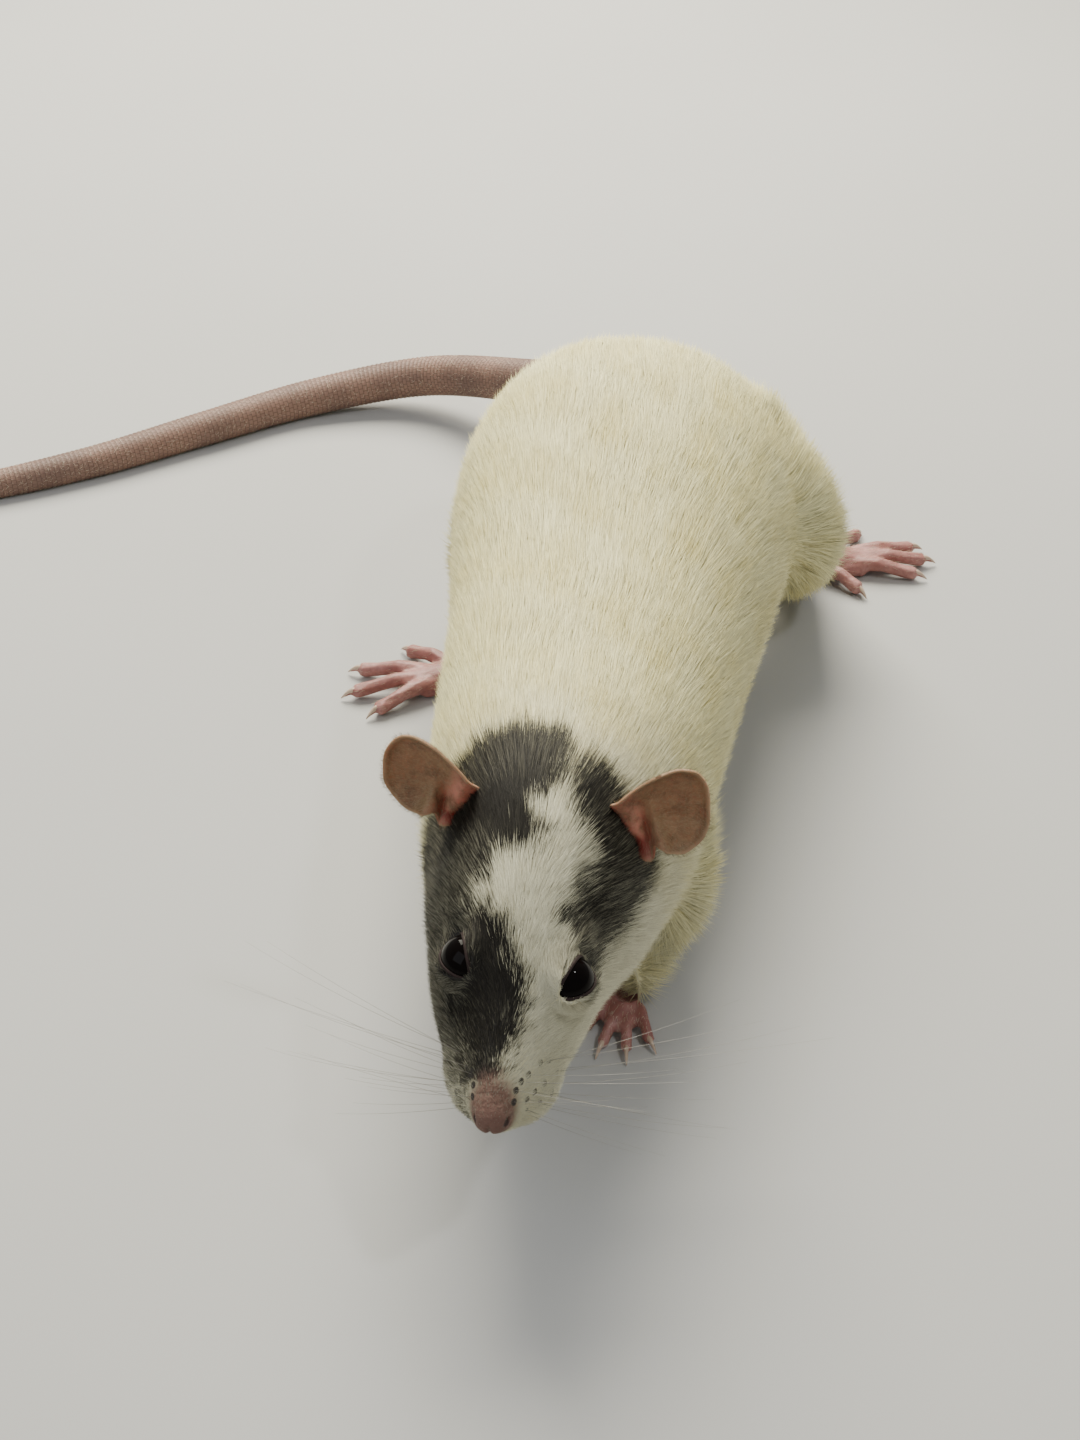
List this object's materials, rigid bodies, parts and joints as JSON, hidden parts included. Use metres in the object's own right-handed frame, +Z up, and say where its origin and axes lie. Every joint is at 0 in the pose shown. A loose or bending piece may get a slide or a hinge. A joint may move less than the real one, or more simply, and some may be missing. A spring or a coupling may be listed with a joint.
{
  "type": "dumbo rat",
  "caption": "Life-size dumbo rat standing low with its head forward, round ears out at the sides of the head, and its tail swept to one side.",
  "frame": {"origin": "centre of the bounding box in plan, on the floor under the feet and the tail", "axes": "+Z up; the rat faces -Y, and its own left side is towards +X"},
  "size_m": [0.2137, 0.2228, 0.0577],
  "materials": {
    "cream_fur": "short cream-white fur",
    "hood_fur": "short slate-grey fur with a white blaze and white cheeks",
    "bare_skin": "bare pink skin",
    "ear_skin": "thin brown-pink ear skin",
    "tail_skin": "brown-pink skin in fine scaly rings",
    "eye": "wet glossy black"
  },
  "bodies": {
    "root": {"head": "hood_fur", "neck": "cream_fur", "torso": "cream_fur", "rump": "cream_fur", "foreleg_left": "cream_fur", "foreleg_right": "cream_fur", "hindleg_left": "cream_fur", "hindleg_right": "cream_fur", "forepaw_left": "bare_skin", "forepaw_right": "bare_skin", "hindfoot_left": "bare_skin", "hindfoot_right": "bare_skin", "ear_left": "ear_skin", "ear_right": "ear_skin", "eye_left": "eye", "eye_right": "eye", "tail_1": "tail_skin", "tail_2": "tail_skin", "tail_3": "tail_skin", "tail_4": "tail_skin", "tail_5": "tail_skin"}
  },
  "joints": []
}
